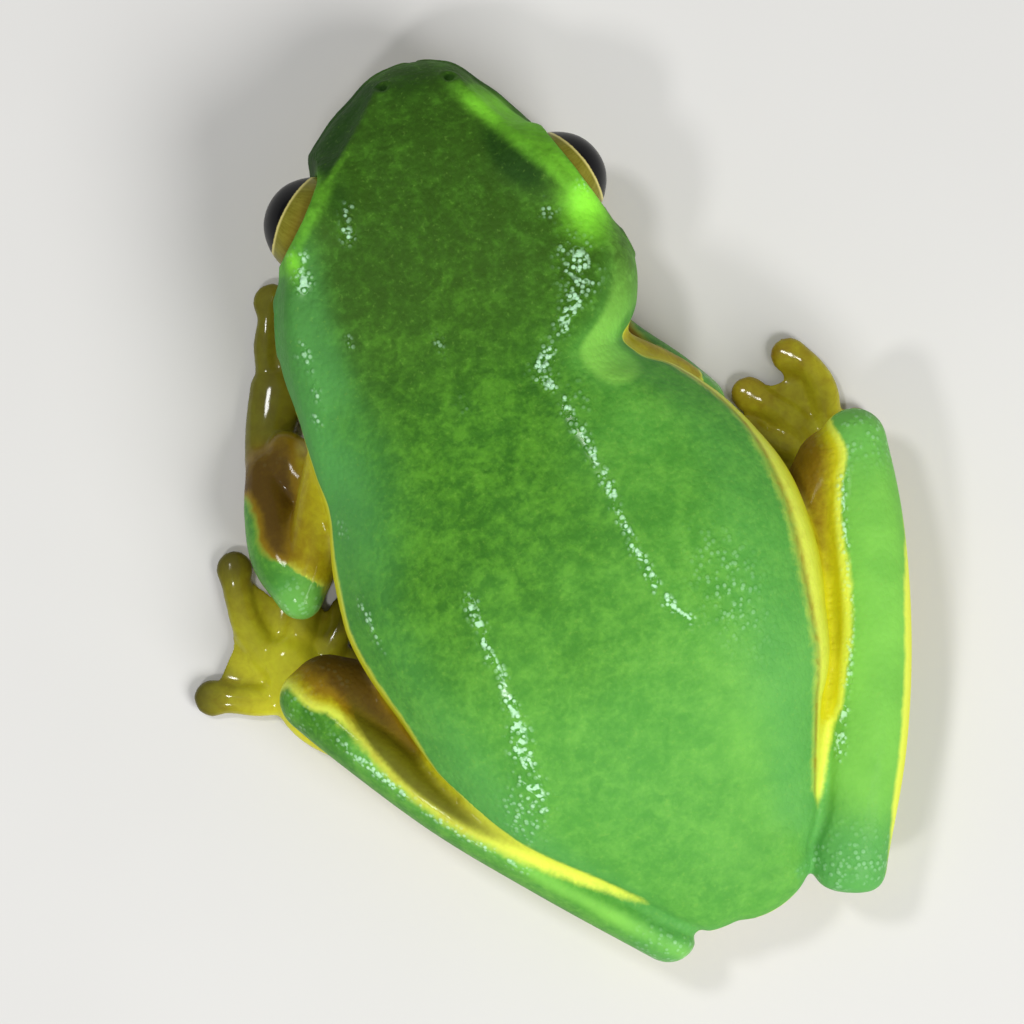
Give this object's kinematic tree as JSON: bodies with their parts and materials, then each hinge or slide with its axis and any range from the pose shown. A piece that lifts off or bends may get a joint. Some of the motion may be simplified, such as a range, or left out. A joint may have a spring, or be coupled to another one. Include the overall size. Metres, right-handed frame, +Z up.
{
  "type": "graceful tree frog",
  "caption": "Life-size museum-type model of a graceful tree frog, crouched with its arms and legs folded, leaf green above with golden yellow hands, feet and flanks.",
  "frame": {"origin": "middle of the frog's bounding box in plan, at the level of the floor it sits on", "axes": "+Z up; the snout points along -Y and the rump along +Y; +X is the frog's own left"},
  "size_m": [0.0342, 0.043, 0.0114],
  "materials": {
    "skin_green": "moist, finely granular leaf-green skin with yellowish mottling",
    "skin_yellow": "moist, smooth golden-yellow skin of hands, feet and flanks",
    "skin_ochre": "moist, smooth brownish-ochre skin of the thighs",
    "eye": "clear glossy eye with an orange-gold iris and a wide black pupil"
  },
  "bodies": {
    "root": {"head": "skin_green", "torso": "skin_green", "eye_left": "eye", "eye_right": "eye", "upper_arm_left": "skin_yellow", "forearm_left": "skin_green", "hand_left": "skin_yellow", "thigh_left": "skin_ochre", "shank_left": "skin_green", "tarsus_left": "skin_yellow", "foot_left": "skin_yellow", "upper_arm_right": "skin_yellow", "forearm_right": "skin_green", "hand_right": "skin_yellow", "thigh_right": "skin_ochre", "shank_right": "skin_green", "tarsus_right": "skin_yellow", "foot_right": "skin_yellow"}
  },
  "joints": []
}
